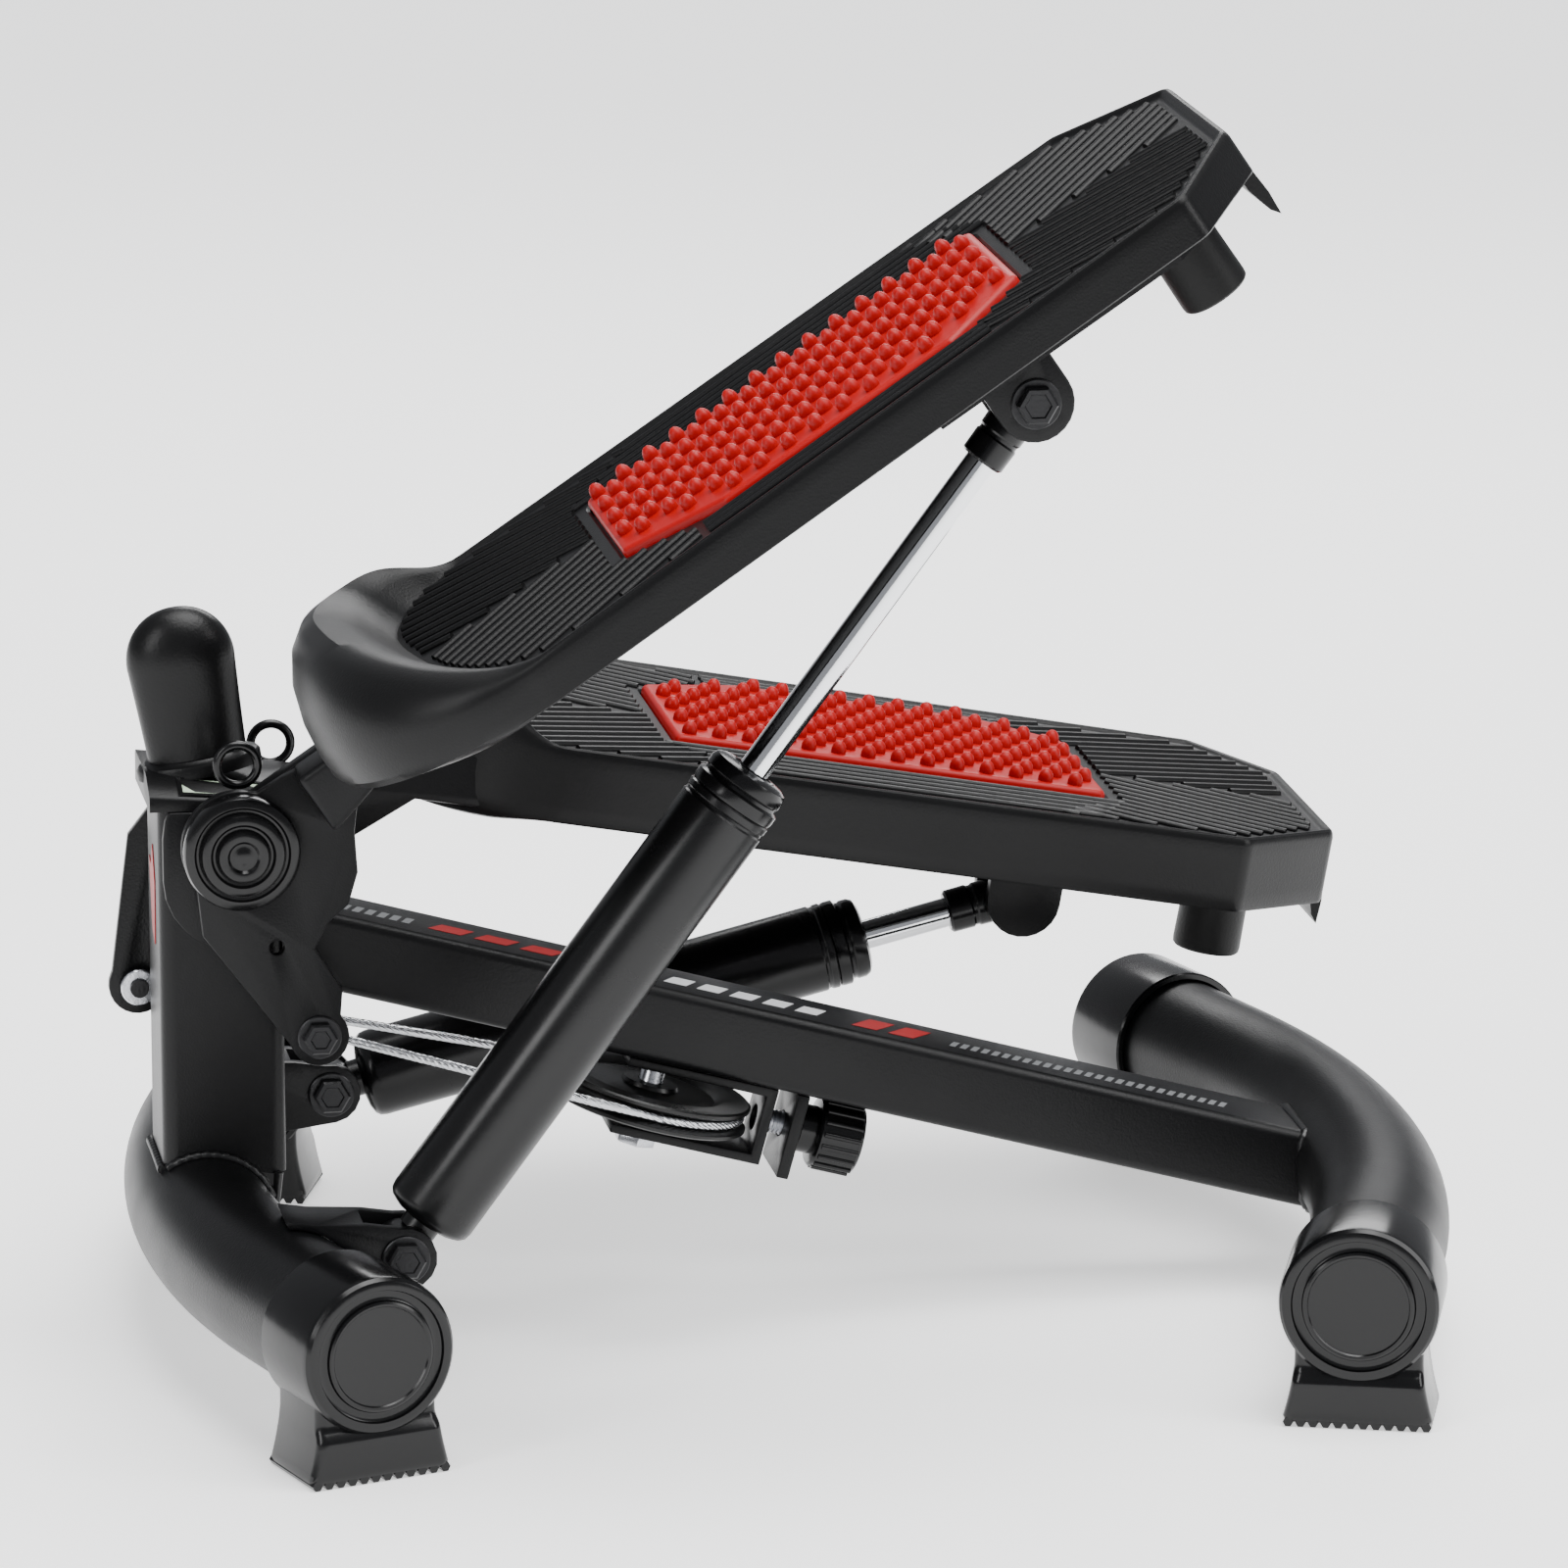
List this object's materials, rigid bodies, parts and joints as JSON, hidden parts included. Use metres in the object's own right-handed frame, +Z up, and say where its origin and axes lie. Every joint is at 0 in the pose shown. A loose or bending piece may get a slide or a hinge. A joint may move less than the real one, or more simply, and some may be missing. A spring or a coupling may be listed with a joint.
{
  "type": "mini stepper",
  "caption": "Mini stepper: two hinged foot treads with massage plates, linked by a cable and pulley, over hydraulic dampers on a bowed tube base with a display.",
  "frame": {"origin": "on the floor under the middle of the base", "axes": "+Z up, +X towards the heel end of the treads, -Y the user's left"},
  "size_m": [0.4312, 0.362, 0.4089],
  "materials": {
    "steel_black": "satin powder coat",
    "tread_black": "satin moulded",
    "cap_black": "glossy moulded",
    "barrel_black": "gloss enamel",
    "rubber_red": "semi-gloss soft moulding",
    "rubber_black": "matte",
    "rod_chrome": "polished",
    "zinc_steel": "zinc plated",
    "nylon": "natural",
    "display": "clear over a pale green display"
  },
  "bodies": {
    "frame": {"front_stabilizer": "steel_black", "rear_stabilizer": "steel_black", "front_left_foot": "cap_black", "front_right_foot": "cap_black", "rear_left_foot": "cap_black", "rear_right_foot": "cap_black", "front_column": "steel_black", "left_axle_plate": "steel_black", "right_axle_plate": "steel_black", "pivot_axle": "zinc_steel", "left_axle_cap": "cap_black", "right_axle_cap": "cap_black", "main_beam": "steel_black", "pulley_bracket": "steel_black", "pulley_axle": "zinc_steel", "adjuster_bracket": "steel_black", "console_housing": "tread_black", "console_window": "display", "battery_cover": "tread_black", "carry_grip": "tread_black", "left_base_clevis": "steel_black", "right_base_clevis": "steel_black", "left_base_pin": "zinc_steel", "right_base_pin": "zinc_steel", "drive_cable": "zinc_steel"},
    "left_tread": {"left_tread_arm": "steel_black", "left_tread_bush": "nylon", "left_tread_lever": "steel_black", "left_tread_lever_bolt": "zinc_steel", "left_tread_shell": "tread_black", "left_tread_massage_plate": "rubber_red", "left_tread_clevis": "steel_black", "left_tread_clevis_bolt": "zinc_steel", "left_tread_bumper": "rubber_black", "left_tread_rope_ring": "zinc_steel"},
    "left_barrel": {"left_damper_barrel": "barrel_black", "left_damper_gland": "tread_black"},
    "left_rod": {"left_damper_piston_rod": "rod_chrome", "left_damper_piston": "nylon", "left_damper_rod_eye": "tread_black"},
    "right_tread": {"right_tread_arm": "steel_black", "right_tread_bush": "nylon", "right_tread_lever": "steel_black", "right_tread_lever_bolt": "zinc_steel", "right_tread_shell": "tread_black", "right_tread_massage_plate": "rubber_red", "right_tread_clevis": "steel_black", "right_tread_clevis_bolt": "zinc_steel", "right_tread_bumper": "rubber_black", "right_tread_rope_ring": "zinc_steel"},
    "right_barrel": {"right_damper_barrel": "barrel_black", "right_damper_gland": "tread_black"},
    "right_rod": {"right_damper_piston_rod": "rod_chrome", "right_damper_piston": "nylon", "right_damper_rod_eye": "tread_black"},
    "pulley_wheel": {"pulley": "tread_black"},
    "adjuster": {"adjuster_screw": "zinc_steel", "adjuster_knob": "tread_black"},
    "reset_button": {"console_button": "rubber_red"}
  },
  "joints": [
    {"name": "left_tread_swing", "type": "hinge", "parent": "frame", "child": "left_tread", "pos_m": [-0.181, -0.033, 0.1696], "axis": [0, -1, 0], "range_deg": [-44, 0], "deforming": ["drive_cable"]},
    {"name": "right_tread_swing", "type": "hinge", "parent": "frame", "child": "right_tread", "pos_m": [-0.181, 0.033, 0.1696], "axis": [0, -1, 0], "range_deg": [0, 44], "deforming": ["drive_cable"]},
    {"name": "left_barrel_tilt", "type": "hinge", "parent": "frame", "child": "left_barrel", "pos_m": [-0.138, -0.097, 0.052], "axis": [0, -1, 0], "range_deg": [-39, 0]},
    {"name": "left_rod_slide", "type": "slide", "parent": "left_barrel", "child": "left_rod", "axis": [0.5983, 0, 0.8013], "range_m": [-0.0905, 0]},
    {"name": "right_barrel_tilt", "type": "hinge", "parent": "frame", "child": "right_barrel", "pos_m": [-0.138, 0.097, 0.052], "axis": [0, -1, 0], "range_deg": [0, 41]},
    {"name": "right_rod_slide", "type": "slide", "parent": "right_barrel", "child": "right_rod", "axis": [0.9722, 0, 0.2342], "range_m": [0, 0.093]},
    {"name": "pulley_spin", "type": "hinge", "parent": "frame", "child": "pulley_wheel", "pos_m": [-0.04436, 0, 0.0719], "axis": [0.2656, 0, 0.9641], "range_deg": [-93, 0]},
    {"name": "adjuster_turn", "type": "hinge", "parent": "frame", "child": "adjuster", "pos_m": [0.01349, 0, 0.05597], "axis": [0.9641, 0, -0.2656], "range_deg": [-360, 360]},
    {"name": "console_button_press", "type": "slide", "parent": "frame", "child": "reset_button", "axis": [0, 0, -1], "range_m": [0, 0.0006], "stiffness_N_per_m": 400}
  ],
  "couplings": [
    {"joint": "right_tread_swing", "follows": "left_tread_swing", "ratio": -1},
    {"joint": "left_barrel_tilt", "follows": "left_tread_swing", "ratio": 0.8775},
    {"joint": "left_rod_slide", "follows": "left_tread_swing", "m_per_rad": 0.11746},
    {"joint": "right_barrel_tilt", "follows": "left_tread_swing", "ratio": -0.9225},
    {"joint": "right_rod_slide", "follows": "left_tread_swing", "m_per_rad": -0.12061},
    {"joint": "pulley_spin", "follows": "left_tread_swing", "ratio": 2.1}
  ]
}
